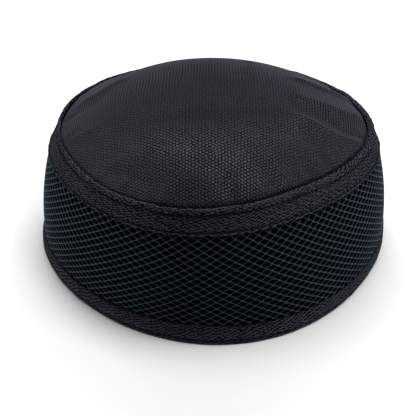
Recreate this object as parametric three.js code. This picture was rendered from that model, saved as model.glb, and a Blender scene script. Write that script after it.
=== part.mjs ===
import * as THREE from 'three';
import { mergeVertices } from 'three/addons/utils/BufferGeometryUtils.js';

// Round brimless cap standing on its hem, in millimetres, +Z up.
// The side that faces the viewer is -Y, the viewer's right is +X, and the back is +Y.

// Facets round the cap.
const STEPS = 90;

// The wall's outer face as rings round the cap, from the floor up to the seam with the crown.
// Each ring has a mean radius and a height, a shift along X, and what makes its plan out of round:
// the size in mm of two, three and four lobes, and the direction in degrees that a lobe points to.
const WALL_RINGS = [
  { ring: 'floor', height: 0, radius: 94.5, shiftX: -0.25,
    two: 0.9, twoAt: -55, three: 2.8, threeAt: 26, four: 0.8, fourAt: 18 },
  { ring: 'hem edge', height: 8.1, radius: 92.7, shiftX: 0.6,
    two: 0.5, twoAt: -29, three: 1.7, threeAt: 28, four: 0.6, fourAt: 19 },
  { ring: 'band edge', height: 53.6, radius: 84.0, shiftX: 0.2,
    two: 1.8, twoAt: 26, three: 1.3, threeAt: 20, four: 1.3, fourAt: -5 },
  { ring: 'crown seam', height: 64.7, radius: 79.9, shiftX: 0,
    two: 0.9, twoAt: 33, three: 1.9, threeAt: 14, four: 1.0, fourAt: -14 },
];
const [, HEM_EDGE, BAND_EDGE, CROWN_SEAM] = WALL_RINGS;

// The net swells out by this much halfway between the hem and the band.
const WALL_BULGE = 1.9;

// Clear space between pieces that are sewn together.
const SEWN_GAP = 0.3;

// Thickness of the plain cloth, of the folded hem under the wall's edge, of the air mesh, and of the
// air mesh where a seam pinches it.
const CLOTH = 1.1;
const HEM_FOLD = 1.7;
const MESH = 2.6;
const MESH_PINCHED = 1.6;

// How far things stand out from the face of the net: the band and the hem, their inner faces, and
// what lies behind them, which is the pinched net and the crown's turned-down edge.
const TRIM_FACE = 0.6;
const TRIM_BACK = TRIM_FACE - CLOTH;
const BEHIND_TRIM = TRIM_BACK - SEWN_GAP;

// Where the net's section has corners, as shares of its height from the hem to the band.
const NET_STATIONS = [0.12, 0.28, 0.46, 0.64, 0.82];

// Crown: height of the dome over its seam, how flat its top is, and the depth of its turned-down
// edge. Its section has corners at these shares of the way from its middle to its seam.
const DOME_RISE = 22;
const DOME_POWER = 2.7;
const CROWN_THICKNESS = 1.4;
const CROWN_TURNING = 3.5;
const DOME_STATIONS = [0, 0.2, 0.38, 0.53, 0.66, 0.77, 0.86, 0.93, 0.975];

// The higher this power, the closer the crown's folds run up to its seam before they fade.
const FOLD_FADE = 8;

// Folds of the crown: a ridge or, with a negative rise, a hollow along a line in plan from one
// point to another, with its rise and half its width.
const CROWN_FOLDS = [
  { fold: 'right back ridge', fromX: 50, fromY: 25, toX: 72, toY: 33, rise: 1.6, half: 4.5 },
  { fold: 'right back hollow', fromX: 56, fromY: 14, toX: 76, toY: 19, rise: -1.4, half: 5.0 },
  { fold: 'right ridge', fromX: 44, fromY: -2, toX: 78, toY: 6, rise: 1.9, half: 4.5 },
  { fold: 'right hollow', fromX: 58, fromY: -7, toX: 76, toY: -11, rise: -1.9, half: 5.0 },
  { fold: 'right front ridge', fromX: 45, fromY: -22, toX: 76, toY: -21, rise: 1.6, half: 5.0 },
  { fold: 'left back ridge', fromX: -50, fromY: 28, toX: -72, toY: 25, rise: 1.3, half: 5.0 },
  { fold: 'left back hollow', fromX: -60, fromY: 8, toX: -74, toY: 10, rise: -1.2, half: 7.0 },
  { fold: 'left back dip', fromX: -36, fromY: 58, toX: -50, toY: 46, rise: -1.4, half: 7.0 },
  { fold: 'left front ridge', fromX: -52, fromY: -24, toX: -70, toY: -21, rise: 1.1, half: 5.0 },
  { fold: 'back hollow', fromX: 15, fromY: 18, toX: 18, toY: 40, rise: -0.8, half: 7.0 },
];

function radians(degrees) {
  return THREE.MathUtils.degToRad(degrees);
}

// Radius of one ring of the wall in the direction theta.
function ringRadius(ring, theta) {
  return ring.radius
    + ring.shiftX * Math.cos(theta)
    + ring.two * Math.cos(2 * (theta - radians(ring.twoAt)))
    + ring.three * Math.cos(3 * (theta - radians(ring.threeAt)))
    + ring.four * Math.cos(4 * (theta - radians(ring.fourAt)));
}

// Radius of the wall's outer face at a height, in the direction theta.
function wallRadius(height, theta) {
  const last = WALL_RINGS.length - 2;
  const above = WALL_RINGS.findIndex((ring) => ring.height > height) - 1;
  const index = THREE.MathUtils.clamp(above < -1 ? last : above, 0, last);
  const lower = WALL_RINGS[index];
  const upper = WALL_RINGS[index + 1];
  const t = (height - lower.height) / (upper.height - lower.height);
  const bulge = lower === HEM_EDGE ? WALL_BULGE * 4 * t * (1 - t) : 0;
  return THREE.MathUtils.lerp(ringRadius(lower, theta), ringRadius(upper, theta), t) + bulge;
}

// Turns a closed section into a solid ring or cap, and then moves each corner with place(point),
// which gets its nominal radius, its direction and its height and returns its radius and height.
function turnedSolid(section, place) {
  const profile = section.map(([radius, height]) => new THREE.Vector2(radius, height));
  const turned = new THREE.LatheGeometry(profile, STEPS);
  turned.deleteAttribute('normal');
  turned.deleteAttribute('uv');
  const solid = mergeVertices(turned);
  solid.rotateX(Math.PI / 2);
  const corners = solid.getAttribute('position');
  for (let i = 0; i < corners.count; i += 1) {
    const x = corners.getX(i);
    const y = corners.getY(i);
    const theta = Math.atan2(y, x);
    const moved = place({ radius: Math.hypot(x, y), theta, height: corners.getZ(i) });
    corners.setXYZ(i, moved.radius * Math.cos(theta), moved.radius * Math.sin(theta), moved.height);
  }
  solid.computeVertexNormals();
  return solid;
}

// A ring that follows the wall: its section is a list of corners, each the distance that it stands
// out from the wall's outer face and its height.
const NOMINAL_RADIUS = 100;
function wallPiece(corners) {
  const closed = [...corners, corners[0]];
  const section = closed.map(([proud, height]) => [NOMINAL_RADIUS + proud, height]);
  return turnedSolid(section, ({ radius, theta, height }) => (
    { radius: wallRadius(height, theta) + radius - NOMINAL_RADIUS, height }
  ));
}

// Rise of the crown over its smooth dome at a point in plan, from all its folds.
function foldRise(x, y) {
  return CROWN_FOLDS.reduce((sum, { fromX, fromY, toX, toY, rise, half }) => {
    const alongX = toX - fromX;
    const alongY = toY - fromY;
    const length = Math.hypot(alongX, alongY);
    const along = ((x - fromX) * alongX + (y - fromY) * alongY) / length;
    const across = ((x - fromX) * alongY - (y - fromY) * alongX) / length;
    const beyond = Math.max(0, -along, along - length);
    return sum + rise * Math.exp(-((across / half) ** 2) - (beyond / (1.6 * half)) ** 2);
  }, 0);
}

// The dome meets the band's inner face, and its edge turns down inside the band.
function crown() {
  const seamRadius = CROWN_SEAM.radius + BEHIND_TRIM;
  const foot = CROWN_SEAM.height - CROWN_TURNING;
  const dome = (station) => CROWN_SEAM.height + DOME_RISE * (1 - station ** DOME_POWER);
  const outside = DOME_STATIONS.map((station) => [station * seamRadius, dome(station)]);
  const inside = DOME_STATIONS.map((station) => (
    [station * (seamRadius - CROWN_THICKNESS), dome(station) - CROWN_THICKNESS]
  ));
  const turning = [
    [seamRadius - CROWN_THICKNESS, foot],
    [seamRadius, foot],
    [seamRadius, CROWN_SEAM.height],
  ];
  const section = [...inside, ...turning, ...outside.toReversed()];
  return turnedSolid(section, ({ radius, theta, height }) => {
    const seam = wallRadius(Math.min(height, CROWN_SEAM.height), theta) + BEHIND_TRIM;
    const spread = radius * (seam / seamRadius);
    const reach = Math.min(1, radius / seamRadius);
    const free = 1 - reach ** FOLD_FADE;
    const rise = free * foldRise(spread * Math.cos(theta), spread * Math.sin(theta));
    return { radius: spread, height: height + rise };
  });
}

// Strip round the top of the wall, with a rolled top edge and a stitched groove below it.
function crownBand() {
  const foot = BAND_EDGE.height;
  const top = CROWN_SEAM.height;
  return wallPiece([
    [TRIM_BACK, foot],
    [TRIM_FACE - 0.25, foot],
    [TRIM_FACE + 0.05, foot + 0.7],
    [TRIM_FACE + 0.15, top - 6.5],
    [TRIM_FACE, top - 3.5],
    [TRIM_FACE - 0.4, top - 2.8],
    [TRIM_FACE + 0.2, top - 1.8],
    [TRIM_FACE + 0.35, top - 0.5],
    [TRIM_FACE + 0.05, top + 0.4],
    [TRIM_FACE - 0.5, top + 0.6],
    [TRIM_BACK, top + 0.1],
  ]);
}

// Wall of air mesh between the folded hem and the crown's turned-down edge.
function sidePanel() {
  const foot = HEM_FOLD + SEWN_GAP;
  const top = CROWN_SEAM.height - CROWN_TURNING - SEWN_GAP;
  const netFoot = HEM_EDGE.height + SEWN_GAP;
  const netTop = BAND_EDGE.height - SEWN_GAP;
  const between = NET_STATIONS.map((share) => THREE.MathUtils.lerp(netFoot, netTop, share));
  return wallPiece([
    [BEHIND_TRIM, foot],
    [BEHIND_TRIM, netFoot],
    [0, netFoot + 0.4],
    ...between.map((height) => [0, height]),
    [0, netTop - 0.4],
    [BEHIND_TRIM, netTop],
    [BEHIND_TRIM, top],
    [BEHIND_TRIM - MESH_PINCHED, top],
    [-MESH, netTop - 2],
    ...between.toReversed().map((height) => [-MESH, height]),
    [-MESH, netFoot + 2],
    [BEHIND_TRIM - MESH_PINCHED, foot],
  ]);
}

// Strip folded in a U over the wall's lower edge, flat underneath.
function hemBinding() {
  const top = HEM_EDGE.height;
  const innerLegFace = BEHIND_TRIM - MESH_PINCHED - SEWN_GAP;
  const innerLegBack = innerLegFace - CLOTH;
  return wallPiece([
    [innerLegFace, HEM_FOLD],
    [innerLegFace, top],
    [innerLegBack + 0.4, top],
    [innerLegBack, top - 0.8],
    [innerLegBack, 1.2],
    [innerLegBack + 0.8, 0],
    [TRIM_FACE - 0.7, 0],
    [TRIM_FACE, 1.0],
    [TRIM_FACE + 0.3, 4.0],
    [TRIM_FACE + 0.1, top - 0.7],
    [TRIM_FACE - 0.3, top],
    [TRIM_BACK, top],
    [TRIM_BACK, HEM_FOLD],
  ]);
}

const SATIN_BLACK_CLOTH = { color: '#24262c', roughness: 0.75, metalness: 0 };
const BLACK_CLOTH = { color: '#1f2024', roughness: 0.85, metalness: 0 };
const BLUE_BLACK_MESH = { color: '#16202a', roughness: 0.8, metalness: 0 };

function piece(name, geometry, finish) {
  const mesh = new THREE.Mesh(geometry, new THREE.MeshStandardMaterial(finish));
  mesh.name = name;
  return mesh;
}

const kufi = new THREE.Group();
kufi.add(
  piece('crown', crown(), SATIN_BLACK_CLOTH),
  piece('crown_band', crownBand(), BLACK_CLOTH),
  piece('side_panel', sidePanel(), BLUE_BLACK_MESH),
  piece('hem_binding', hemBinding(), BLACK_CLOTH),
);

// The origin is on the floor, under the middle of the cap's width and depth.
const extent = new THREE.Box3().setFromObject(kufi);
const middle = extent.getCenter(new THREE.Vector3());
kufi.position.set(-middle.x, -middle.y, -extent.min.z);

export default kufi;
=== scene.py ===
"""Round brimless cap in black cloth and air mesh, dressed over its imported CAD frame."""

import math
from collections import namedtuple

import bmesh
import bpy
import numpy as np
from mathutils import Matrix, Vector


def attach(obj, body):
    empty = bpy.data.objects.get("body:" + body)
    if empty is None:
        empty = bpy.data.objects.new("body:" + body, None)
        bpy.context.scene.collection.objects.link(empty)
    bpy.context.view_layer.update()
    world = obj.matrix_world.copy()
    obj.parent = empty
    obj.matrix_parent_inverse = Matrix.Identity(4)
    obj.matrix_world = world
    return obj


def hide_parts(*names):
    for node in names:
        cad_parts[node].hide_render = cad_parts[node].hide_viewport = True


bl_info = {
    "name": "Kufi",
    "version": (1, 0, 0),
    "blender": (4, 5, 0),
    "location": "3D View > Sidebar > Kufi",
    "description": "Cloth, net, stitching and studio of a round brimless cap",
    "category": "Object",
}

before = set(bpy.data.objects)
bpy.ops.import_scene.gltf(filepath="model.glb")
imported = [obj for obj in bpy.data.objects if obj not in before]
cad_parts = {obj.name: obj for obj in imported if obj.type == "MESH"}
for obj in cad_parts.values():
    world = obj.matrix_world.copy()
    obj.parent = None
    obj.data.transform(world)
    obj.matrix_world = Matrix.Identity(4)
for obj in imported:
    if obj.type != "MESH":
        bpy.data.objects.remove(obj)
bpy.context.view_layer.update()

# Sizes of shapes are in millimetres, as in the part's source, and turn to metres when a mesh is
# placed. Sizes in the panel, and those of the unevenness of materials, are in metres.
MM = 0.001

# Middle of the wall's plan, seen from above.
CAP_MIDDLE = (-0.490, 2.483)

# The wall's outer face as rings from the floor up to the seam with the crown: height, mean radius,
# shift along X, and the size and direction in degrees of its two, three and four lobes.
Ring = namedtuple("Ring", "height radius shift two two_at three three_at four four_at")
FLOOR_RING = Ring(0.0, 94.5, -0.25, 0.9, -55, 2.8, 26, 0.8, 18)
HEM_EDGE = Ring(8.1, 92.7, 0.6, 0.5, -29, 1.7, 28, 0.6, 19)
BAND_EDGE = Ring(53.6, 84.0, 0.2, 1.8, 26, 1.3, 20, 1.3, -5)
CROWN_SEAM = Ring(64.7, 79.9, 0.0, 0.9, 33, 1.9, 14, 1.0, -14)
WALL_RINGS = (FLOOR_RING, HEM_EDGE, BAND_EDGE, CROWN_SEAM)

# The net swells out by this much halfway between the hem and the band.
WALL_BULGE = 1.9

# Crown: radius of its seam, the dome's rise over it, how flat its top is, and the height of its
# turned-down edge.
SEAM_RADIUS = 79.1
DOME_RISE = 22.0
DOME_POWER = 2.7
CROWN_TURNING = 3.5

# How far the crown's seam lies further in than the wall: on the whole, more than that on the cap's
# right and less on its left, and less again in its left corner.
SEAM_INSET = 0.9
SEAM_INSET_RIGHT = 0.6
SEAM_INSET_CORNER = 1.2

# How firmly the seam draws the crown down, and how much more or less that is on the stretches
# where it is hardest and slackest.
SEAM_PULL = 0.75
SEAM_PULL_CHANGE = 0.5

# Stretches of the crown's seam: their middle in degrees from the cap's right, and their half width
# in radians.
Stretch = namedtuple("Stretch", "middle width")
LEFT_CORNER = Stretch(192, 0.25)
SLACK_SEAM = Stretch(228, 0.45)
HARD_SEAM = Stretch(300, 0.6)

# Soft folds of the crown, seen from above: a line from left to right, its rise, or a hollow where
# that is negative, and how far it falls away towards the front and towards the back.
Fold = namedtuple("Fold", "line rise front back")
CROWN_FOLDS = (
    Fold(((47, 19), (57, 17.4), (66, 19.5), (74, 26)), 1.6, 2.5, 6.0),
    Fold(((47, -6.5), (63, -5.7), (72, -2.5), (80, 3.5)), 2.2, 5.0, 9.0),
    Fold(((57, -16), (66, -18), (75, -16)), -1.8, 5.0, 4.0),
    Fold(((45, -23.5), (57, -26.5), (65, -26.3), (76, -21)), 2.4, 8.0, 2.5),
    Fold(((-67, 11), (-60, 12.3), (-50, 19)), 1.3, 2.5, 7.0),
    Fold(((-76, 0), (-62, 2)), -0.9, 5.5, 5.5),
    Fold(((-73, -22.5), (-58, -25.3)), 1.3, 3.0, 7.0),
    Fold(((-50, 46), (-36, 58)), -1.4, 7.0, 7.0),
    Fold(((15, 18), (18, 40)), -0.8, 7.0, 7.0),
    Fold(((-56, -47), (-45, -57), (-30, -66)), -1.1, 4.0, 9.0),
    Fold(((32, -67), (44, -60), (54, -51)), -1.3, 4.0, 9.0),
)

# Power with which the folds fade out near the seam, that of their fall on each side of their line,
# and how far they run on past its ends.
FOLD_FADE = 24
FOLD_SHARPNESS = 1.4
FOLD_END = 6

# Looks of the knit: how far its rows wander, size of their finer jitter, weight of its yarn's
# grain, the heights that turn dark and full, depth of the relief in millimetres, roughness of the
# crests, specular level, and sheen.
Knit = namedtuple(
    "Knit", "wander jitter grain lowest highest depth crest_roughness specular sheen")
CROWN_KNIT = Knit(1.0, 0.004, 2.7, -0.9, 0.6, 0.27, 0.29, 0.12, 0.07)
TRIM_KNIT = Knit(2.5, 0.0024, 2.8, -0.7, 0.6, 0.35, 0.60, 0.0, 0.01)

# Sizes of the cloth's unevenness: the slow wandering of its rows, the grain of its yarn, and the
# patches where it is faded and where it is rubbed smooth.
WANDER_SIZE = 0.012
GRAIN_SIZE = 0.0009
FADED_SIZE = 0.03
RUBBED_SIZE = 0.009

# Weight of the chains that the bumps form in the trims, and in the crown's front and its back.
TRIM_CHAINS = 0.1
FRONT_CHAINS = 0.45
BACK_CHAINS = 1.8

# The strips of the band and the hem are stretched lengthwise by this much.
TRIM_STRETCH = 1.25

# Sections are turned about the axis at this radius, and then moved onto the wall's plan.
NOMINAL_RADIUS = 100.0

# Mean radius of the net, at which its meshes have their own width.
NET_RADIUS = 90.0

# Ribs of the net's backing round the cap, and the height of one.
BACKING_RIBS = 330
BACKING_RIB_HEIGHT = 1.5

# Facets round the sewn cloths, and round the plain backing.
CLOTH_STEPS = 540
BACKING_STEPS = 180


def linear(code):
    """Linear RGB of an sRGB hex colour."""
    channels = [int(code[i:i + 2], 16) / 255 for i in (1, 3, 5)]
    return tuple(c / 12.92 if c <= 0.04045 else ((c + 0.055) / 1.055) ** 2.4 for c in channels)


class KufiSizes(bpy.types.PropertyGroup):
    """Sizes of the cloth, net and stitches."""

    weave_width: bpy.props.FloatProperty(
        name="Knit width", description="Width of one repeat of the knitted cloth",
        default=0.0031, unit="LENGTH")
    weave_height: bpy.props.FloatProperty(
        name="Knit height", description="Height of one repeat of the knitted cloth",
        default=0.0019, unit="LENGTH")
    net_columns: bpy.props.IntProperty(
        name="Net columns", description="Meshes of the net in one row round the cap", default=96)
    net_pitch: bpy.props.FloatProperty(
        name="Net pitch", description="Height of one mesh of the net with its thread",
        default=0.0035, unit="LENGTH")
    gap_width: bpy.props.FloatProperty(
        name="Gap width", description="Width of one gap of the net", default=0.0044, unit="LENGTH")
    gap_height: bpy.props.FloatProperty(
        name="Gap height", description="Height of one gap of the net",
        default=0.0022, unit="LENGTH")
    stitch_pitch: bpy.props.FloatProperty(
        name="Stitch pitch", description="Length of one stitch with the space after it",
        default=0.0030, unit="LENGTH")
    thread_width: bpy.props.FloatProperty(
        name="Sewing thread", description="Thickness of the sewing thread",
        default=0.00038, unit="LENGTH")


class KufiColours(bpy.types.PropertyGroup):
    """Colours of the cloth, net and studio."""

    crown_cloth: bpy.props.FloatVectorProperty(
        name="Crown cloth", description="Knitted cloth of the crown",
        default=linear("#252831"), subtype="COLOR", min=0.0, max=1.0)
    trim_cloth: bpy.props.FloatVectorProperty(
        name="Trim cloth", description="Knitted cloth of the band and the hem",
        default=linear("#373a41"), subtype="COLOR", min=0.0, max=1.0)
    cloth_gap: bpy.props.FloatVectorProperty(
        name="Cloth gaps", description="Gaps between the stitches of the knitted cloth",
        default=linear("#06070a"), subtype="COLOR", min=0.0, max=1.0)
    net_yarn: bpy.props.FloatVectorProperty(
        name="Net yarn", description="Yarn of the net's outer face",
        default=linear("#303f4c"), subtype="COLOR", min=0.0, max=1.0)
    net_backing: bpy.props.FloatVectorProperty(
        name="Net backing", description="Knitted face behind the net's gaps",
        default=linear("#030405"), subtype="COLOR", min=0.0, max=1.0)
    sewing_thread: bpy.props.FloatVectorProperty(
        name="Sewing thread", description="Thread of the seams",
        default=linear("#16171a"), subtype="COLOR", min=0.0, max=1.0)
    floor: bpy.props.FloatVectorProperty(
        name="Floor", description="Pale floor of the studio",
        default=linear("#fafafa"), subtype="COLOR", min=0.0, max=1.0)


def ring_radius(ring, theta):
    """Radius of one ring of the wall in the direction theta."""
    return (
        ring.radius
        + ring.shift * np.cos(theta)
        + ring.two * np.cos(2 * (theta - math.radians(ring.two_at)))
        + ring.three * np.cos(3 * (theta - math.radians(ring.three_at)))
        + ring.four * np.cos(4 * (theta - math.radians(ring.four_at)))
    )


def wall_radius(height, theta):
    """Radius of the wall's outer face at a height, in the direction theta."""
    radius = np.zeros_like(theta)
    last = len(WALL_RINGS) - 2
    for index, (lower, upper) in enumerate(zip(WALL_RINGS[:-1], WALL_RINGS[1:])):
        share = (height - lower.height) / (upper.height - lower.height)
        here = (1 - share) * ring_radius(lower, theta) + share * ring_radius(upper, theta)
        if lower is HEM_EDGE:
            here = here + WALL_BULGE * 4 * share * (1 - share)
        inside = np.ones_like(theta, dtype=bool)
        if index > 0:
            inside &= height >= lower.height
        if index < last:
            inside &= height < upper.height
        radius = np.where(inside, here, radius)
    return radius


def bell(values, middle, width):
    """Shares that are 1 at a middle value and fall away over a width on each side of it."""
    return np.exp(-(((values - middle) / width) ** 2))


def bells(values, *terms):
    """Sum of bells: each term is a middle, a width and a share."""
    return sum(share * bell(values, middle, width) for middle, width, share in terms)


def smooth(share):
    """The same share from 0 to 1, with a gentle start and end."""
    return share * share * (3 - 2 * share)


def near(theta, stretch):
    """How near to the middle of a stretch of the seam a direction is, from 0 to 1."""
    return bell(np.mod(theta, math.tau), math.radians(stretch.middle), stretch.width)


def seam_inset(theta):
    """How far the crown's seam lies further in than the wall: most on the cap's right."""
    corner = SEAM_INSET_CORNER * near(theta, LEFT_CORNER)
    return SEAM_INSET + SEAM_INSET_RIGHT * np.cos(theta) - corner


def seam_pull(theta):
    """How firmly the seam draws the crown down: most at the front right, least front left."""
    return SEAM_PULL + SEAM_PULL_CHANGE * (near(theta, HARD_SEAM) - near(theta, SLACK_SEAM))


def waves(theta, *terms):
    """Slow unevenness round the cap: each term is a size in mm, a number of waves and a phase."""
    return sum(size * np.sin(count * theta + phase) for size, count, phase in terms)


def points_of(piece):
    """Places of a piece's vertices, in millimetres."""
    flat = np.empty(len(piece.data.vertices) * 3)
    piece.data.vertices.foreach_get("co", flat)
    return flat.reshape(-1, 3) / MM


def set_points(piece, x, y, z):
    """Puts a piece's vertices at these places, given in millimetres."""
    piece.data.vertices.foreach_set("co", (np.stack([x, y, z], axis=1) * MM).ravel())
    piece.data.update()


def put_round(piece, radius, theta, height):
    """Puts a piece's vertices round the cap's middle."""
    x = radius * np.cos(theta) + CAP_MIDDLE[0]
    y = radius * np.sin(theta) + CAP_MIDDLE[1]
    set_points(piece, x, y, height)


def outer_share(proud):
    """Shares from 0 on a strip's inner side to 1 on its outer side, from how far it stands out."""
    return np.clip((proud + 0.3) / 0.6, 0, 1)


def set_painted_light(piece, values):
    """Keeps painted light on a piece's vertices: painted shade above 0, highlight below 0."""
    painted_light = piece.data.attributes.new("painted_light", "FLOAT", "POINT")
    painted_light.data.foreach_set("value", values)


def circle(name, corners, radius, fill="NOTHING"):
    """A new circle on the floor's plane, alone in the selection."""
    bpy.ops.object.select_all(action="DESELECT")
    bpy.ops.mesh.primitive_circle_add(vertices=corners, radius=radius * MM, fill_type=fill)
    piece = bpy.context.object
    piece.name = name
    piece.data.name = name
    return piece


def spun(name, section, steps):
    """A closed section, given as distances out from the wall and heights, turned to a ring."""
    piece = circle(name, len(section), 1.0)
    corners = np.array(section)
    set_points(piece, NOMINAL_RADIUS + corners[:, 0], np.zeros(len(section)), corners[:, 1])
    bpy.ops.object.mode_set(mode="EDIT")
    bpy.ops.mesh.select_all(action="SELECT")
    bpy.ops.mesh.spin(steps=steps, angle=math.tau, center=(0, 0, 0), axis=(0, 0, 1))
    bpy.ops.mesh.select_all(action="SELECT")
    bpy.ops.mesh.remove_doubles(threshold=0.01 * MM)
    bpy.ops.mesh.normals_make_consistent(inside=False)
    bpy.ops.object.mode_set(mode="OBJECT")
    return piece


def repeated(piece, count, step):
    """Repeats a flat piece along a step in millimetres and welds the copies together."""
    array = piece.modifiers.new("Repeat", "ARRAY")
    array.count = count
    array.use_relative_offset = False
    array.use_constant_offset = True
    array.constant_offset_displace = Vector(step) * MM
    array.use_merge_vertices = True
    array.merge_threshold = 0.01 * MM
    bpy.ops.object.modifier_apply(modifier=array.name)


def finish_piece(piece, slot, *nodes):
    """Shades a piece smooth and ties it to the frame, in place of any CAD nodes that are named."""
    bpy.ops.object.select_all(action="DESELECT")
    piece.select_set(True)
    bpy.context.view_layer.objects.active = piece
    bpy.ops.object.shade_smooth()
    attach(piece, "root")
    if nodes:
        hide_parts(*nodes)


def add_node(tree, kind, inputs=None, **settings):
    """Adds a node with its settings, and fills its inputs with values or links from sockets."""
    node = tree.nodes.new(kind)
    for name, value in settings.items():
        setattr(node, name, value)
    for key, value in (inputs or {}).items():
        if isinstance(value, bpy.types.NodeSocket):
            tree.links.new(value, node.inputs[key])
        else:
            node.inputs[key].default_value = value
    return node


def new_material(name):
    """An empty material, its node tree and its surface input."""
    material = bpy.data.materials.new(name)
    material.use_nodes = True
    tree = material.node_tree
    tree.nodes.clear()
    output = add_node(tree, "ShaderNodeOutputMaterial")
    return material, tree, output.inputs["Surface"]


def add_shader(tree, surface, inputs):
    """Adds the material's one shader, with these inputs, and links it to the surface."""
    shader = add_node(tree, "ShaderNodeBsdfPrincipled", inputs)
    tree.links.new(shader.outputs[0], surface)


def sum_of(tree, first, second):
    """Output socket of a sum."""
    return add_node(tree, "ShaderNodeMath", {0: first, 1: second}, operation="ADD").outputs[0]


def product_of(tree, first, second):
    """Output socket of a product."""
    return add_node(tree, "ShaderNodeMath", {0: first, 1: second}, operation="MULTIPLY").outputs[0]


def cosine_of(tree, cycles):
    """Output socket of the cosine of a number of cycles."""
    angle = product_of(tree, cycles, math.tau)
    return add_node(tree, "ShaderNodeMath", {0: angle}, operation="COSINE").outputs[0]


def speckle(tree, place, size, detail=2.0):
    """Output socket of noise from 0 to 1 whose grains have this size in metres."""
    noise = add_node(
        tree, "ShaderNodeTexNoise", {"Vector": place, "Scale": 1 / size, "Detail": detail})
    return noise.outputs["Fac"]


def range_of(tree, value, start, end, low, high):
    """Output socket that goes from low to high while a value goes from start to end."""
    inputs = {0: value, 1: start, 2: end, 3: low, 4: high}
    return add_node(tree, "ShaderNodeMapRange", inputs).outputs[0]


def shade_of(tree, noise, low, high):
    """Output socket of a shade from low to high over the usual values of a noise."""
    return range_of(tree, noise, 0.3, 0.7, low, high)


def scaled(tree, colour, share):
    """Output socket of a colour made darker or lighter by a share."""
    node = add_node(
        tree, "ShaderNodeVectorMath", {0: colour, "Scale": share}, operation="SCALE")
    return node.outputs[0]


def relief_of(tree, height, strength, depth):
    """Output socket of a normal with a relief of this depth in millimetres."""
    inputs = {"Height": height, "Strength": strength, "Distance": depth * MM}
    return add_node(tree, "ShaderNodeBump", inputs).outputs[0]


def object_place(tree):
    """Output socket of the place on a piece."""
    return add_node(tree, "ShaderNodeTexCoord").outputs["Object"]


def place_round_cap(tree):
    """Output socket of the place on a piece, from the middle of the wall's plan."""
    middle = (-CAP_MIDDLE[0] * MM, -CAP_MIDDLE[1] * MM, 0.0)
    return add_node(tree, "ShaderNodeMapping", {0: object_place(tree), 1: middle}).outputs[0]


def wall_cycles(tree, place, columns, height):
    """Counts of the knit's repeats round the cap and up its wall, from a place on it."""
    split = add_node(tree, "ShaderNodeSeparateXYZ", {0: place})
    x, y, z = split.outputs
    turn = add_node(tree, "ShaderNodeMath", {0: y, 1: x}, operation="ARCTAN2").outputs[0]
    plan = add_node(tree, "ShaderNodeCombineXYZ", {0: x, 1: y})
    length = add_node(tree, "ShaderNodeVectorMath", {0: plan.outputs[0]}, operation="LENGTH")
    radius = length.outputs["Value"]
    rise = add_node(tree, "ShaderNodeMath", {0: z, 1: radius}, operation="SUBTRACT").outputs[0]
    return product_of(tree, turn, columns / math.tau), product_of(tree, rise, 1 / height)


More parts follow.
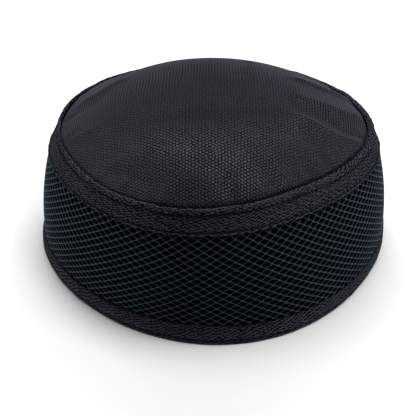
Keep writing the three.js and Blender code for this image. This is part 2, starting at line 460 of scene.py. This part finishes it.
def cloth_surface(tree, surface, place, across, along, chains, knit, colour, gap):
    """Knitted cloth: chains of staggered bumps with dark gaps between them, and a grain of yarn.

    A point attribute of the pieces carries painted light. It is 1 where a seam presses the
    cloth in, which closes its weave and darkens it to the gap colour as painted shade of the
    crease. Below 0, on rolled edges, it fills the gaps and makes the cloth paler as a painted
    highlight. The gloss is on the crests, more where the cloth is rubbed, and fades where the
    cloth is seen at a low angle.
    """
    # Counts of repeats across and along the knit, which wander from straight rows.
    wander = speckle(tree, place, WANDER_SIZE)
    jitter = speckle(tree, place, knit.jitter)
    sideways = sum_of(tree, product_of(tree, wander, 0.5), product_of(tree, jitter, 0.4))
    across = sum_of(tree, across, product_of(tree, sideways, knit.wander))
    upwards = sum_of(tree, product_of(tree, wander, -0.7), product_of(tree, jitter, 0.5))
    along = sum_of(tree, along, product_of(tree, upwards, knit.wander))

    # Height, from 0 in a gap to 1 on a crest: a lattice, its chains and the grain. It is brought
    # down along seams as painted shade, and raised on rolled edges as a painted highlight.
    lattice = product_of(tree, cosine_of(tree, across), cosine_of(tree, along))
    chain = product_of(tree, cosine_of(tree, product_of(tree, across, 2.0)), chains)
    grain = sum_of(tree, speckle(tree, place, GRAIN_SIZE, 3.0), -0.5)
    uneven = sum_of(tree, sum_of(tree, lattice, chain), product_of(tree, grain, knit.grain))
    bump = add_node(
        tree, "ShaderNodeMapRange", {0: uneven, 1: knit.lowest, 2: knit.highest, 3: 0.0, 4: 1.0},
        interpolation_type="SMOOTHSTEP").outputs[0]
    # Painted light along seams and edges: 1 is painted shade, below 0 a painted highlight.
    painted_light = add_node(tree, "ShaderNodeAttribute", attribute_name="painted_light").outputs["Fac"]
    free = add_node(tree, "ShaderNodeMath", {0: 1.0, 1: painted_light}, operation="SUBTRACT").outputs[0]
    bump = add_node(
        tree, "ShaderNodeMath", {0: bump, 1: free}, operation="MULTIPLY",
        use_clamp=True).outputs[0]

    # Colour of gaps and crests, with faded patches and a painted highlight on rolled edges.
    base = add_node(
        tree, "ShaderNodeMix", {0: bump, 6: (*gap, 1.0), 7: (*colour, 1.0)},
        data_type="RGBA").outputs[2]
    shade = shade_of(tree, speckle(tree, place, FADED_SIZE), 0.88, 1.1)
    # Painted highlight: rolled edges are made up to 1.6 times paler.
    edge_highlight = range_of(tree, painted_light, 0.0, -1.0, 1.0, 1.6)

    # Roughness: the crests are smoother, most of all in rubbed patches, but at no low angle.
    rough = range_of(tree, bump, 0.3, 0.9, 0.9, knit.crest_roughness)
    rubbed = sum_of(tree, speckle(tree, place, RUBBED_SIZE), -0.5)
    rough = sum_of(tree, rough, product_of(tree, rubbed, 0.6))
    facing = add_node(tree, "ShaderNodeLayerWeight", {"Blend": 0.5}).outputs["Facing"]
    low_angle = range_of(tree, facing, 0.2, 0.42, 0.0, 1.0)
    rough = add_node(
        tree, "ShaderNodeMath", {0: rough, 1: low_angle}, operation="MAXIMUM").outputs[0]

    add_shader(tree, surface, {
        "Base Color": scaled(tree, base, product_of(tree, shade, edge_highlight)), "Roughness": rough,
        "Specular IOR Level": knit.specular, "Sheen Weight": knit.sheen, "Sheen Roughness": 0.35,
        "Sheen Tint": (0.75, 0.82, 1.0, 1.0), "Normal": relief_of(tree, bump, 1.0, knit.depth)})


def crown_material(sizes, colours):
    """Pique-knit polyester, laid over the crown: small staggered bumps with a slight gloss.

    Its chains stand out more towards the back and the sides, where the folds draw it tight.
    """
    material, tree, surface = new_material("Pique-knit polyester, crown")
    place = add_node(tree, "ShaderNodeUVMap", uv_map="cloth").outputs[0]
    x, y, _ = add_node(tree, "ShaderNodeSeparateXYZ", {0: place}).outputs
    across = product_of(tree, x, 1 / sizes.weave_width)
    along = product_of(tree, y, 1 / sizes.weave_height)
    aside = add_node(tree, "ShaderNodeMath", {0: x}, operation="ABSOLUTE").outputs[0]
    behind = sum_of(tree, y, product_of(tree, aside, 0.55))
    chains = range_of(tree, behind, 0.010, 0.040, FRONT_CHAINS, BACK_CHAINS)
    cloth_surface(
        tree, surface, place, across, along, chains, CROWN_KNIT, colours.crown_cloth,
        colours.cloth_gap)
    return material


def trim_material(name, radius, skew, sizes, colours):
    """The same pique knit as a strip round the wall: matt, with rows of short dark gaps."""
    material, tree, surface = new_material(name)
    place = place_round_cap(tree)
    columns = round(math.tau * radius * MM / (TRIM_STRETCH * sizes.weave_width))
    across, along = wall_cycles(tree, place, columns, sizes.weave_height)
    across = sum_of(tree, across, product_of(tree, along, skew))
    cloth_surface(
        tree, surface, place, across, along, TRIM_CHAINS, TRIM_KNIT, colours.trim_cloth,
        colours.cloth_gap)
    return material


def net_material(colours):
    """Textured polyester yarn of a warp-knit air mesh: blue-black and matt, with fine filaments.

    A point attribute of the net is 0 on a thread's crest and 1 deep in a gap and where the net
    goes
    under the hem and the band: painted shade on the flanks and painted shadow under those edges.
    """
    material, tree, surface = new_material("Warp-knit polyester yarn, net")
    grain = speckle(tree, object_place(tree), 0.0006, 3.0)
    flank_shade = add_node(tree, "ShaderNodeAttribute", attribute_name="flank_shade").outputs["Fac"]
    # Painted shade: the threads darken from their crests down their flanks into the gaps.
    crest = range_of(tree, flank_shade, 0.1, 0.7, 1.0, 0.12)
    shade = product_of(tree, shade_of(tree, grain, 0.75, 1.2), crest)
    add_shader(tree, surface, {
        "Base Color": scaled(tree, colours.net_yarn, shade), "Roughness": 0.6,
        "Specular IOR Level": 0.05, "Sheen Weight": 0.02, "Sheen Roughness": 0.4,
        "Sheen Tint": (0.6, 0.85, 1.0, 1.0), "Normal": relief_of(tree, grain, 0.5, 0.2)})
    return material


def backing_material(colours):
    """Fine black tricot behind the net: dull ribs that stay nearly black in the gaps."""
    material, tree, surface = new_material("Black tricot knit, net backing")
    place = place_round_cap(tree)
    across, along = wall_cycles(tree, place, BACKING_RIBS, BACKING_RIB_HEIGHT * MM)
    ribs = product_of(tree, cosine_of(tree, across), cosine_of(tree, along))
    shade = shade_of(tree, speckle(tree, place, 0.0008), 0.6, 1.3)
    add_shader(tree, surface, {
        "Base Color": scaled(tree, colours.net_backing, shade), "Roughness": 0.9,
        "Specular IOR Level": 0.0, "Normal": relief_of(tree, ribs, 0.5, 0.2)})
    return material


def thread_material(colours):
    """Spun polyester sewing thread: twisted, black and slightly glossy."""
    material, tree, surface = new_material("Spun polyester sewing thread")
    grain = speckle(tree, object_place(tree), 0.0003)
    shade = shade_of(tree, grain, 0.7, 1.2)
    add_shader(tree, surface, {
        "Base Color": scaled(tree, colours.sewing_thread, shade), "Roughness": 0.5,
        "Specular IOR Level": 0.2, "Normal": relief_of(tree, grain, 0.4, 0.1)})
    return material


def floor_material(colours):
    """Matt white studio paper: almost even, with a very faint grain."""
    material, tree, surface = new_material("Matt white studio paper")
    grain = speckle(tree, object_place(tree), 0.02)
    add_shader(tree, surface, {
        "Base Color": (*colours.floor, 1.0), "Roughness": 0.9, "Specular IOR Level": 0.1,
        "Normal": relief_of(tree, grain, 0.05, 0.2)})
    return material


def fold_rise(x, y):
    """Rise of the crown over its smooth dome, from its folds."""
    rise = np.zeros_like(x)
    for fold in CROWN_FOLDS:
        share = np.zeros_like(x)
        for start, end in zip(fold.line[:-1], fold.line[1:]):
            along_x, along_y = end[0] - start[0], end[1] - start[1]
            length = math.hypot(along_x, along_y)
            along = ((x - start[0]) * along_x + (y - start[1]) * along_y) / length
            forward = ((x - start[0]) * along_y - (y - start[1]) * along_x) / length
            half = np.where(forward > 0, fold.front, fold.back)
            beyond = np.maximum(0, np.maximum(-along, along - length))
            fall = (np.abs(forward) / half) ** FOLD_SHARPNESS + (beyond / FOLD_END) ** 2
            share = np.maximum(share, np.exp(-fall))
        rise += fold.rise * share
    return rise


class KUFI_OT_crown(bpy.types.Operator):
    """Domed top panel of knitted cloth with its soft folds"""

    bl_idname = "kufi.crown"
    bl_label = "Crown"

    # Rings of the cloth from its middle to its seam, how they crowd towards the seam, its facets
    # round, and its thickness.
    rings = 84
    crowding = 1.3
    steps = 480
    thickness = 1.2

    # How far the seam lies in from the wall, and the depth of the groove along it, from which the
    # turned edge goes down. The widths of the groove and of the painted shade in it are each a
    # least width, and what the seam's pull adds to it.
    clearance = 0.8
    groove_depth = 2.0
    groove_width = (0.35, 0.95)
    seam_shade_width = (0.2, 0.85)

    # Puckers: size, number round the cap and phase of each wave, and how far in from the seam they
    # have their middle, with their half width there.
    pucker_waves = ((0.20, 23, 0.4), (0.15, 41, 2.0), (0.08, 67, 1.1))
    pucker_place = (4.5, 5.5)

    def execute(self, context):
        scene = context.scene
        piece = circle("Crown_cloth", self.steps, SEAM_RADIUS / self.rings, "TRIFAN")
        bpy.ops.object.mode_set(mode="EDIT")
        # Only the outer edge is selected, and each ring is extruded from the one before.
        mesh = bmesh.from_edit_mesh(piece.data)
        for vertex in mesh.verts:
            vertex.select_set(vertex.co.length > 0.5 * SEAM_RADIUS / self.rings * MM)
        for edge in mesh.edges:
            edge.select_set(edge.is_boundary)
        bmesh.update_edit_mesh(piece.data)
        for ring in range(2, self.rings + 1):
            bpy.ops.mesh.extrude_edges_move()
            spread = ring / (ring - 1)
            bpy.ops.transform.resize(value=(spread, spread, 1.0), center_override=(0, 0, 0))
        turned_rings = 3
        for _ in range(turned_rings):
            down = {"value": (0, 0, -CROWN_TURNING / turned_rings * MM)}
            bpy.ops.mesh.extrude_edges_move(TRANSFORM_OT_translate=down)
        bpy.ops.object.mode_set(mode="OBJECT")
        self.shape(piece)
        solid = piece.modifiers.new("Thickness", "SOLIDIFY")
        solid.thickness = self.thickness * MM
        solid.offset = -1.0
        bpy.ops.object.modifier_apply(modifier=solid.name)
        piece.data.materials.append(crown_material(scene.kufi_sizes, scene.kufi_colours))
        finish_piece(piece, "crown_cloth", "crown")
        return {"FINISHED"}

    def shape(self, piece):
        """Lifts the flat cloth to its dome, and lays its weave over it."""
        x, y, z = points_of(piece).T
        reach = 1 - np.maximum(0.0, 1 - np.hypot(x, y) / SEAM_RADIUS) ** self.crowding
        theta = np.arctan2(y, x)
        wall = wall_radius(np.full_like(theta, CROWN_SEAM.height), theta)
        seam = wall - self.clearance - seam_inset(theta)
        radius = reach * seam
        dome = CROWN_SEAM.height + DOME_RISE * (1 - reach ** DOME_POWER)
        folds = fold_rise(radius * np.cos(theta), radius * np.sin(theta))
        folds = folds * (1 - reach ** FOLD_FADE)
        in_from_seam = seam - radius
        pull = seam_pull(theta)
        least, more = self.groove_width
        groove = -self.groove_depth * pull * np.exp(-((in_from_seam / (least + more * pull)) ** 3))
        puckers = waves(theta, *self.pucker_waves) * bell(in_from_seam, *self.pucker_place)
        # The turned edge, which is below the flat cloth, keeps its depth under the groove.
        turned = CROWN_SEAM.height - self.groove_depth + z
        height = np.where(z < -0.01, turned, dome + folds + groove + puckers)
        put_round(piece, radius, theta, height)
        # Painted shade in the seam's groove, darkest where the seam pulls hardest.
        least, more = self.seam_shade_width
        seam_shade = np.exp(-((in_from_seam / (least + more * pull)) ** 6))
        set_painted_light(piece, np.minimum(pull, 1.0) * seam_shade)
        self.lay_weave(piece, radius, theta, reach)

    def lay_weave(self, piece, radius, theta, reach):
        """Lays the weave flat over the dome, by its length from the middle out along the cloth."""
        slope = DOME_RISE * DOME_POWER / SEAM_RADIUS * reach ** (DOME_POWER - 1)
        # Close to the length of a curve whose slope grows evenly up to this one.
        length = radius * (1 + slope ** 2 / 6)
        layer = piece.data.uv_layers.new(name="cloth")
        corners = np.empty(len(piece.data.loops), dtype=int)
        piece.data.loops.foreach_get("vertex_index", corners)
        spots = np.stack([length * np.cos(theta), length * np.sin(theta)], axis=1)
        layer.data.foreach_set("uv", (spots[corners] * MM).ravel())


class KUFI_OT_band(bpy.types.Operator):
    """Strip of cloth round the top of the wall, rolled over at its top edge"""

    bl_idname = "kufi.band"
    bl_label = "Band"

    # Outer face from the foot up, then the back: how far it stands out, and its height.
    section = (
        (-0.50, 53.6), (0.05, 53.55), (0.60, 53.6), (0.95, 53.9), (1.02, 54.25), (0.85, 54.6),
        (0.42, 54.85), (0.22, 55.0), (0.34, 55.2), (0.62, 55.55), (0.74, 56.4), (0.78, 57.8),
        (0.78, 59.2), (0.78, 60.6), (0.74, 61.7), (0.62, 62.3), (0.26, 62.75), (0.12, 62.95),
        (0.34, 63.2), (0.90, 63.5), (1.22, 64.0), (1.30, 64.5), (1.15, 65.05), (0.75, 65.42),
        (0.25, 65.55), (-0.20, 65.4), (-0.52, 65.1), (-0.70, 64.6), (-0.50, 63.4), (-0.50, 61.5),
        (-0.50, 59.0), (-0.50, 56.0),
    )

    # Heights of its two rows of stitches, and the mean radius on which these are counted. They
    # draw the cloth in by a depth over a half width, and a painted shade lies along them over
    # another.
    top_line = 62.95
    foot_line = 55.0
    stitch_radius = 82.5
    pucker_depth = 0.2
    pucker_width = 0.45
    seam_shade_width = 0.42

    # Its unevenness: size, number round the cap and phase of each wave that lifts it, above a
    # height and fully from a little higher up, and of each wave that swells its face.
    lift_waves = ((0.18, 5, 0.3), (0.15, 13, 1.9), (0.10, 29, 0.7))
    lift_start = 54.5
    lift_height = 4
    swell_waves = ((0.10, 17, 0.2), (0.09, 41, 1.3), (0.07, 73, 2.4), (0.06, 97, 0.5))

    # Rolled edges made paler as a painted highlight, with gaps filled: height, half width and
    # share.
    highlit_edges = ((65.6, 0.3, 0.45), (54.2, 0.3, 0.5))

    # Mean radius at which its weave has its own width, and the slant of the weave's columns.
    weave_radius = 83.0
    weave_slant = -0.16

    def execute(self, context):
        scene = context.scene
        piece = spun("Band_cloth", self.section, CLOTH_STEPS)
        x, y, z = points_of(piece).T
        theta = np.arctan2(y, x)
        proud = np.hypot(x, y) - NOMINAL_RADIUS
        outside = outer_share(proud)
        lines = (self.top_line, self.foot_line)
        lifted = np.clip((z - self.lift_start) / self.lift_height, 0, 1)
        lift = waves(theta, *self.lift_waves) * lifted
        swell = waves(theta, *self.swell_waves)
        stitches = round(math.tau * self.stitch_radius * MM / scene.kufi_sizes.stitch_pitch)
        pull = sum(bell(z, line, self.pucker_width) for line in lines)
        pucker = -self.pucker_depth * pull * (0.5 + 0.5 * np.cos(stitches * theta))
        # The inner side of the roll at its top goes in with the crown's seam.
        inner = np.clip((0.9 - proud) / 1.4, 0, 1) * np.clip((z - 63.5) / 1.0, 0, 1)
        radius = wall_radius(z, theta) + proud + outside * (swell * (1 - pull) + pucker)
        radius = radius - inner * seam_inset(theta)
        put_round(piece, radius, theta, z + lift)
        # Painted shade along the rows of stitches, and a painted highlight on the rolled edges.
        seam_shade = sum(0.9 * bell(z, line, self.seam_shade_width) for line in lines)
        set_painted_light(piece, outside * (seam_shade - bells(z, *self.highlit_edges)))
        material = trim_material(
            "Pique-knit polyester, band", self.weave_radius, self.weave_slant, scene.kufi_sizes,
            scene.kufi_colours)
        piece.data.materials.append(material)
        finish_piece(piece, "band_cloth", "crown_band")
        return {"FINISHED"}


class KUFI_OT_net(bpy.types.Operator):
    """Outer face of the air mesh: a net of lens-shaped gaps knitted in thread"""

    bl_idname = "kufi.net"
    bl_label = "Net"

    # Corners of each ring of a mesh, double rows, the height of the lowest row, and the turn of
    # the first column in degrees.
    corners = 12
    double_rows = 14
    lowest = 5.8
    turn = 1.2

    # The thread's rings from its crest into the gap, as the share of the way and the depth, and
    # the gap's outline as a power: 1 is a diamond and 2 an ellipse.
    thread = ((0.0, 0.0), (0.45, -0.10), (0.90, -0.32), (1.0, -0.60))
    gap_power = 1.35

    # The net is tucked in this deep under the hem and the band, with this share of its relief. It
    # comes out from that over a height above the hem's edge, and one below the band's, and starts
    # to do so a little past each edge.
    tucked_depth = 0.9
    tucked_relief = 0.55
    foot_height = 1.3
    top_height = 2.6
    past_edge = 0.3

    def execute(self, context):
        scene = context.scene
        sizes = scene.kufi_sizes
        width = math.tau * NET_RADIUS / sizes.net_columns
        pitch = sizes.net_pitch / MM
        piece = self.mesh_of_net(width, pitch, sizes)
        repeated(piece, sizes.net_columns, (width, 0, 0))
        self.add_between_rows(piece, width, pitch)
        repeated(piece, self.double_rows, (0, pitch, 0))
        x, y, z = points_of(piece).T
        theta = x / NET_RADIUS + math.radians(self.turn)
        height = y + self.lowest
        foot = np.clip((height - HEM_EDGE.height + self.past_edge) / self.foot_height, 0, 1)
        top = np.clip((BAND_EDGE.height + self.past_edge - height) / self.top_height, 0, 1)
        open_share = smooth(foot) * smooth(top)
        relief = self.tucked_relief + (1 - self.tucked_relief) * open_share
        proud = z * relief - self.tucked_depth * (1 - open_share)
        put_round(piece, wall_radius(height, theta) + proud, theta, height)
        # Painted shadow: the net darkens fully where it goes in under the hem and the band.
        flank_shade = piece.data.attributes["flank_shade"].data
        depth = np.empty(len(flank_shade))
        flank_shade.foreach_get("value", depth)
        flank_shade.foreach_set("value", np.maximum(depth, 1 - open_share))
        bpy.ops.object.mode_set(mode="EDIT")
        bpy.ops.mesh.select_all(action="SELECT")
        bpy.ops.mesh.remove_doubles(threshold=0.02 * MM)
        bpy.ops.object.mode_set(mode="OBJECT")
        piece.data.materials.append(net_material(scene.kufi_colours))
        finish_piece(piece, "air_mesh", "side_panel")
        return {"FINISHED"}

    def mesh_of_net(self, width, pitch, sizes):
        """One gap of the net with half of the thread round it, flat, its outer side up."""
        piece = circle("Net_threads", self.corners, 1.0)
        turns = np.arange(self.corners) * math.tau / self.corners
        cosines, sines = np.cos(turns), np.sin(turns)
        spread = np.abs(cosines) + np.abs(sines)
        crest = np.stack([cosines / spread * width / 2, sines / spread * pitch / 2], axis=1)
        power = 2 / self.gap_power
        half_width = sizes.gap_width / MM / 2
        half_height = sizes.gap_height / MM / 2
        rim = np.stack([
            half_width * np.sign(cosines) * np.abs(cosines) ** power,
            half_height * np.sign(sines) * np.abs(sines) ** power], axis=1)
        bpy.ops.object.mode_set(mode="EDIT")
        bpy.ops.mesh.select_all(action="SELECT")
        for _ in self.thread[1:]:
            bpy.ops.mesh.extrude_edges_move()
        bpy.ops.object.mode_set(mode="OBJECT")
        flat = np.concatenate([(1 - share) * crest + share * rim for share, _ in self.thread])
        depths = np.repeat([depth for _, depth in self.thread], self.corners)
        set_points(piece, flat[:, 0], flat[:, 1], depths)
        # Painted shade on the thread's flanks, from its crest into the gap.
        flank_shade = piece.data.attributes.new("flank_shade", "FLOAT", "POINT")
        shares = np.repeat([share for share, _ in self.thread], self.corners)
        flank_shade.data.foreach_set("value", shares)
        if sum(face.normal.z * face.area for face in piece.data.polygons) < 0:
            piece.data.flip_normals()
        return piece

    def add_between_rows(self, piece, width, pitch):
        """Adds the staggered row above a row."""
        other = piece.copy()
        other.data = piece.data.copy()
        bpy.context.scene.collection.objects.link(other)
        other.data.transform(Matrix.Translation(Vector((width / 2, pitch / 2, 0)) * MM))
        other.select_set(True)
        piece.select_set(True)
        bpy.context.view_layer.objects.active = piece
        bpy.ops.object.join()


class KUFI_OT_backing(bpy.types.Operator):
    """Inner face of the air mesh, which closes the net's gaps from behind"""

    bl_idname = "kufi.backing"
    bl_label = "Net backing"

    # Outer face from the foot up, then the inner face down.
    section = (
        (-1.55, 2.0), (-1.55, 8.0), (-1.55, 9.0), (-1.60, 10.5), (-1.60, 18.0), (-1.60, 26.0),
        (-1.60, 34.0), (-1.60, 42.0), (-1.60, 50.5), (-1.55, 52.2), (-1.55, 53.3), (-1.55, 60.9),
        (-2.40, 60.9), (-2.45, 55.0), (-2.60, 51.0), (-2.60, 42.0), (-2.60, 34.0), (-2.60, 26.0),
        (-2.60, 18.0), (-2.60, 10.5), (-2.40, 8.0), (-2.40, 2.0),
    )

    def execute(self, context):
        piece = spun("Net_backing", self.section, BACKING_STEPS)
        x, y, z = points_of(piece).T
        theta = np.arctan2(y, x)
        radius = wall_radius(z, theta) + np.hypot(x, y) - NOMINAL_RADIUS
        put_round(piece, radius, theta, z)
        piece.data.materials.append(backing_material(context.scene.kufi_colours))
        finish_piece(piece, "air_mesh", "side_panel")
        return {"FINISHED"}


class KUFI_OT_hem(bpy.types.Operator):
    """Strip of cloth folded in a U over the wall's lower edge"""

    bl_idname = "kufi.hem"
    bl_label = "Hem"

    # Outer leg from its top down, flat underside, inner leg up, and the slot between the legs.
    section = (
        (-0.50, 8.10), (-0.10, 8.15), (0.32, 8.05), (0.62, 7.70), (0.78, 7.10), (0.84, 6.20),
        (0.90, 5.20), (0.92, 4.20), (0.90, 3.20), (0.84, 2.60), (0.66, 2.20), (0.58, 1.90),
        (0.66, 1.60), (0.80, 1.20), (0.76, 0.65), (0.42, 0.20), (-0.10, 0.0), (-1.2, 0.0),
        (-2.2, 0.0), (-3.0, 0.0), (-3.45, 0.3), (-3.75, 0.8), (-3.8, 1.6), (-3.8, 3.5),
        (-3.8, 5.5), (-3.75, 7.3), (-3.5, 7.9), (-3.2, 8.1), (-2.8, 8.05), (-2.7, 7.7),
        (-2.7, 5.0), (-2.7, 1.7), (-1.6, 1.7), (-0.5, 1.7), (-0.5, 5.0),
    )

    # Height of its row of stitches, and the half width of the painted shade along it.
    line = 1.90
    seam_shade_width = 0.45

    # Its unevenness: size, number round the cap and phase of each wave that lifts its upper half,
    # and of each wave that swells its face. Its underside stays flat.
    lift_waves = ((0.15, 7, 1.0), (0.12, 19, 0.2))
    swell_waves = ((0.14, 15, 0.6), (0.12, 37, 2.1), (0.08, 71, 0.9))

    # Heights made paler as a painted highlight where the cloth rolls, with half width and share.
    highlit_edges = ((0.7, 0.5, 0.6), (3.4, 0.7, 0.3))

    # Mean radius at which its weave has its own width, and the slant of the weave's columns.
    weave_radius = 93.8
    weave_slant = 0.08

    def execute(self, context):
        scene = context.scene
        piece = spun("Hem_cloth", self.section, CLOTH_STEPS)
        x, y, z = points_of(piece).T
        theta = np.arctan2(y, x)
        proud = np.hypot(x, y) - NOMINAL_RADIUS
        outside = outer_share(proud)
        free = np.clip(z / 2, 0, 1)
        lift = free * np.clip((z - 4) / 4, 0, 1) * waves(theta, *self.lift_waves)
        swell = waves(theta, *self.swell_waves)
        radius = wall_radius(z, theta) + proud + outside * free * swell
        put_round(piece, radius, theta, z + lift)
        # Painted shade along the row of stitches, and a painted highlight on the rolled edges.
        seam_shade = bell(z, self.line, self.seam_shade_width)
        set_painted_light(piece, outside * (seam_shade - bells(z, *self.highlit_edges)))
        material = trim_material(
            "Pique-knit polyester, hem", self.weave_radius, self.weave_slant, scene.kufi_sizes,
            scene.kufi_colours)
        piece.data.materials.append(material)
        finish_piece(piece, "hem_cloth", "hem_binding")
        return {"FINISHED"}


class KUFI_OT_stitches(bpy.types.Operator):
    """Rows of stitches that hold the band and the hem"""

    bl_idname = "kufi.stitches"
    bl_label = "Stitches"

    # Name, slot, height, mean radius, and how far the thread's middle stands out from the wall.
    rows = (
        ("Band_top_stitches", "band_cloth", KUFI_OT_band.top_line, 80.8, 0.10),
        ("Band_foot_stitches", "band_cloth", KUFI_OT_band.foot_line, 83.8, 0.22),
        ("Hem_stitches", "hem_cloth", KUFI_OT_hem.line, 94.4, 0.58),
    )

    # Half of a stitch's length as a share of the pitch, and its slant in degrees.
    half_length = 0.36
    slant = 6

    def execute(self, context):
        scene = context.scene
        sizes = scene.kufi_sizes
        for name, slot, height, mean_radius, proud in self.rows:
            count = round(math.tau * mean_radius * MM / sizes.stitch_pitch)
            pitch = math.tau * NOMINAL_RADIUS / count
            bpy.ops.object.select_all(action="DESELECT")
            half_width = sizes.thread_width / 2
            bpy.ops.mesh.primitive_uv_sphere_add(
                segments=8, ring_count=6, radius=half_width, rotation=(0, math.pi / 2, 0))
            piece = bpy.context.object
            piece.name = name
            piece.data.name = name
            bpy.ops.object.transform_apply(location=True, rotation=True, scale=True)
            bpy.ops.object.mode_set(mode="EDIT")
            bpy.ops.transform.resize(value=(self.half_length * pitch * MM / half_width, 1, 1))
            bpy.ops.transform.rotate(
                value=math.radians(self.slant), orient_axis="Z", center_override=(0, 0, 0))
            bpy.ops.object.mode_set(mode="OBJECT")
            repeated(piece, count, (pitch, 0, 0))
            x, y, z = points_of(piece).T
            theta = (x + pitch / 2) / NOMINAL_RADIUS
            level = height + y
            put_round(piece, wall_radius(level, theta) + proud + z, theta, level)
            piece.data.materials.append(thread_material(scene.kufi_colours))
            finish_piece(piece, slot)
        return {"FINISHED"}


class KUFI_OT_studio(bpy.types.Operator):
    """Pale floor, soft light and the camera at the photograph's angle"""

    bl_idname = "kufi.studio"
    bl_label = "Studio"

    # Camera: distance in metres, height of its line of sight in degrees, roll in degrees, lens in
    # millimetres, and the small shift that frames the cap.
    distance = 0.5
    elevation = 34.4116
    roll = 0.2031
    lens = 77.15
    shift = (-0.0108, 0.0461)

    # Radius of the floor, and the strength of the light that comes from all round.
    floor_radius = 4000.0
    world_strength = 0.1

    def execute(self, context):
        scene = context.scene
        self.add_floor(scene)
        self.add_lights(scene)
        self.add_camera(scene)
        return {"FINISHED"}

    def add_floor(self, scene):
        """Wide pale floor under the cap."""
        floor = circle("Studio_floor", 64, self.floor_radius, "NGON")
        bpy.ops.object.mode_set(mode="EDIT")
        bpy.ops.mesh.inset(thickness=1.0)
        bpy.ops.object.mode_set(mode="OBJECT")
        floor.data.materials.append(floor_material(scene.kufi_colours))

    def add_lights(self, scene):
        """Wide softbox overhead, a backdrop light behind, and a low soft fill on each side."""
        world = bpy.data.worlds.new("Studio")
        world.use_nodes = True
        background = world.node_tree.nodes["Background"]
        background.inputs["Color"].default_value = (1.0, 1.0, 1.0, 1.0)
        background.inputs["Strength"].default_value = self.world_strength
        scene.world = world
        self.add_area(scene, "Overhead softbox", (0.14, 0.20, 1.2), (1.3, 0.50), 15.0)
        self.add_area(scene, "Backdrop light", (0.0, 2.2, 1.5), (3.0, 1.6), 39.0)
        self.add_area(scene, "Fill from the left", (-1.4, 0.0, 0.10), (0.8, 0.18), 13.5)
        self.add_area(scene, "Fill from the right", (1.4, 0.0, 0.10), (0.8, 0.18), 15.0)

    def add_area(self, scene, name, place, size, power):
        """Oblong soft light that faces the cap."""
        data = bpy.data.lights.new(name, "AREA")
        data.shape = "RECTANGLE"
        data.size, data.size_y = size
        data.energy = power
        light = bpy.data.objects.new(name, data)
        light.location = place
        towards = Vector((0.0, 0.0, 0.05)) - Vector(place)
        light.rotation_euler = towards.to_track_quat("-Z", "Y").to_euler()
        scene.collection.objects.link(light)

    def add_camera(self, scene):
        """Camera that looks at the cap from the photograph's side and height."""
        data = bpy.data.cameras.new("Camera")
        data.lens = self.lens
        data.sensor_width = 36.0
        data.shift_x, data.shift_y = self.shift
        data.clip_start = 0.01
        camera = bpy.data.objects.new("Camera", data)
        rise = math.radians(self.elevation)
        back = Vector((0.0, -math.cos(rise), math.sin(rise)))
        up = Vector((0.0, math.sin(rise), math.cos(rise)))
        right = Vector((1.0, 0.0, 0.0))
        rolled = Matrix.Rotation(math.radians(self.roll), 3, "Z")
        turned = Matrix((right, up, back)).transposed() @ rolled
        middle = Vector((CAP_MIDDLE[0] * MM, CAP_MIDDLE[1] * MM, 0.0))
        camera.matrix_world = Matrix.Translation(middle + back * self.distance) @ turned.to_4x4()
        scene.collection.objects.link(camera)
        scene.camera = camera
        scene.view_settings.view_transform = "Standard"


OPERATORS = (
    KUFI_OT_hem,
    KUFI_OT_backing,
    KUFI_OT_net,
    KUFI_OT_band,
    KUFI_OT_crown,
    KUFI_OT_stitches,
    KUFI_OT_studio,
)


class KUFI_PT_panel(bpy.types.Panel):
    """Lists the cap's pieces, sizes and colours"""

    bl_idname = "KUFI_PT_panel"
    bl_label = "Kufi"
    bl_space_type = "VIEW_3D"
    bl_region_type = "UI"
    bl_category = "Kufi"

    def draw(self, context):
        layout = self.layout
        for operator in OPERATORS:
            layout.operator(operator.bl_idname)
        for group in (context.scene.kufi_sizes, context.scene.kufi_colours):
            for name in group.__annotations__:
                layout.prop(group, name)


CLASSES = (KufiSizes, KufiColours, *OPERATORS, KUFI_PT_panel)


def register():
    for item in CLASSES:
        bpy.utils.register_class(item)
    bpy.types.Scene.kufi_sizes = bpy.props.PointerProperty(type=KufiSizes)
    bpy.types.Scene.kufi_colours = bpy.props.PointerProperty(type=KufiColours)


def unregister():
    del bpy.types.Scene.kufi_colours
    del bpy.types.Scene.kufi_sizes
    for item in reversed(CLASSES):
        bpy.utils.unregister_class(item)


def main():
    register()
    bpy.ops.kufi.hem()
    bpy.ops.kufi.backing()
    bpy.ops.kufi.net()
    bpy.ops.kufi.band()
    bpy.ops.kufi.crown()
    bpy.ops.kufi.stitches()
    bpy.ops.kufi.studio()


if __name__ == "__main__":
    main()
